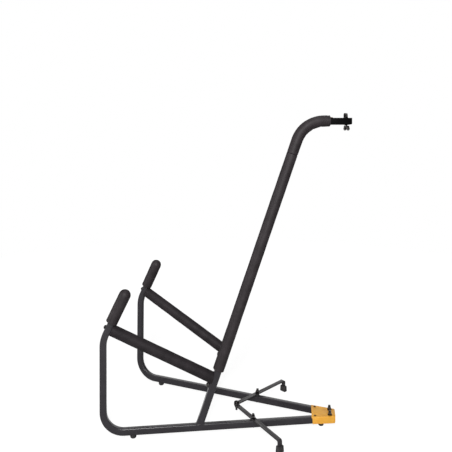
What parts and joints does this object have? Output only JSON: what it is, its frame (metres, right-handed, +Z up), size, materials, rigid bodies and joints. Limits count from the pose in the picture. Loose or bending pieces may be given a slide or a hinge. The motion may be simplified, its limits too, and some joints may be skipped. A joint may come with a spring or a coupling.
{
  "type": "cello stand",
  "caption": "Folding tubular floor stand for a cello or bass, with foam-covered seats, horns and uprights, clamped brackets and outrigger bars.",
  "frame": {"origin": "on the floor, under the middle of the whole length and of the width", "axes": "+Z up, +X to the back where the brackets are, -Y the near side in the picture"},
  "size_m": [0.6774, 0.366, 0.8776],
  "materials": {
    "black_paint": "satin black powder coat",
    "gold_paint": "satin gold coat",
    "black_zinc": "black zinc plated",
    "zinc_steel": "bright zinc plated",
    "black_foam": "closed-cell foam, matt black",
    "black_rubber": "matt rubber",
    "black_plastic": "moulded plastic"
  },
  "bodies": {
    "brackets": {"base_bracket": "gold_paint", "top_bracket": "black_paint", "near_base_rivet": "black_zinc", "far_base_rivet": "black_zinc", "near_top_rivet": "black_zinc", "far_top_rivet": "black_zinc"},
    "near_frame": {"near_frame_tube": "black_paint", "near_rear_upright": "black_paint", "near_seat_rail": "black_paint", "near_seat_insert": "zinc_steel", "near_seat_lug": "black_paint", "near_horn_screw": "black_zinc", "near_lug_screw": "black_zinc", "near_rivet_nut": "zinc_steel", "near_base_plug": "black_plastic", "near_top_plug": "black_plastic", "near_horn_foam": "black_foam", "near_seat_foam": "black_foam", "near_lower_foam": "black_foam", "near_upper_foam": "black_foam", "near_base_bolt": "black_zinc", "near_top_bolt": "black_zinc", "near_front_foot": "black_rubber", "near_rear_foot": "black_rubber", "near_bar_spacer": "black_plastic", "near_bar_bolt": "black_zinc"},
    "near_bar": {"near_outrigger_bar": "black_paint", "near_outrigger_tip": "black_rubber", "pivot_bolt": "black_zinc", "pivot_nut": "black_zinc"},
    "near_base_nut": {"near_base_wing_nut": "black_zinc"},
    "near_top_nut": {"near_top_wing_nut": "black_zinc"},
    "near_bar_nut": {"near_bar_wing_nut": "black_zinc"},
    "far_frame": {"far_frame_tube": "black_paint", "far_rear_upright": "black_paint", "far_seat_rail": "black_paint", "far_seat_insert": "zinc_steel", "far_seat_lug": "black_paint", "far_horn_screw": "black_zinc", "far_lug_screw": "black_zinc", "far_rivet_nut": "zinc_steel", "far_base_plug": "black_plastic", "far_top_plug": "black_plastic", "far_horn_foam": "black_foam", "far_seat_foam": "black_foam", "far_lower_foam": "black_foam", "far_upper_foam": "black_foam", "far_base_bolt": "black_zinc", "far_top_bolt": "black_zinc", "far_front_foot": "black_rubber", "far_rear_foot": "black_rubber", "far_bar_spacer": "black_plastic", "far_bar_bolt": "black_zinc"},
    "far_bar": {"far_outrigger_bar": "black_paint", "far_outrigger_tip": "black_rubber"},
    "far_base_nut": {"far_base_wing_nut": "black_zinc"},
    "far_top_nut": {"far_top_wing_nut": "black_zinc"},
    "far_bar_nut": {"far_bar_wing_nut": "black_zinc"}
  },
  "joints": [
    {"name": "near_frame_fold", "type": "hinge", "parent": "brackets", "child": "near_frame", "pos_m": [0.23587, -0.0248, 0.0172], "axis": [0.0549, 0, 0.9985], "range_deg": [-2, 3]},
    {"name": "far_frame_fold", "type": "hinge", "parent": "brackets", "child": "far_frame", "pos_m": [0.23587, 0.0248, 0.0172], "axis": [0.0549, 0, 0.9985], "range_deg": [-3, 2]},
    {"name": "near_bar_swing", "type": "hinge", "parent": "near_frame", "child": "near_bar", "pos_m": [0.06603, -0.06822, 0.0298], "axis": [0, 0, 1], "range_deg": [-12.6, 8.4]},
    {"name": "near_base_nut_turn", "type": "hinge", "parent": "near_frame", "child": "near_base_nut", "pos_m": [0.27753, -0.01415, 0.0336], "axis": [0, 0, 1], "continuous": true},
    {"name": "near_top_nut_turn", "type": "hinge", "parent": "near_frame", "child": "near_top_nut", "pos_m": [0.32364, -0.01415, 0.8364], "axis": [0, 0, 1], "continuous": true},
    {"name": "near_bar_nut_turn", "type": "hinge", "parent": "near_frame", "child": "near_bar_nut", "pos_m": [0.06603, -0.06822, 0.0379], "axis": [0, 0, 1], "continuous": true},
    {"name": "far_bar_swing", "type": "hinge", "parent": "far_frame", "child": "far_bar", "pos_m": [0.06603, 0.06822, 0.0331], "axis": [0, 0, 1], "range_deg": [-8.4, 12.6]},
    {"name": "far_base_nut_turn", "type": "hinge", "parent": "far_frame", "child": "far_base_nut", "pos_m": [0.27753, 0.01415, 0.0336], "axis": [0, 0, 1], "continuous": true},
    {"name": "far_top_nut_turn", "type": "hinge", "parent": "far_frame", "child": "far_top_nut", "pos_m": [0.32364, 0.01415, 0.8713], "axis": [0, 0, 1], "continuous": true},
    {"name": "far_bar_nut_turn", "type": "hinge", "parent": "far_frame", "child": "far_bar_nut", "pos_m": [0.06603, 0.06822, 0.0412], "axis": [0, 0, 1], "continuous": true}
  ],
  "couplings": [
    {"joint": "far_frame_fold", "follows": "near_frame_fold", "ratio": -1},
    {"joint": "near_bar_swing", "follows": "near_frame_fold", "ratio": -4.2},
    {"joint": "far_bar_swing", "follows": "near_frame_fold", "ratio": 4.2}
  ]
}
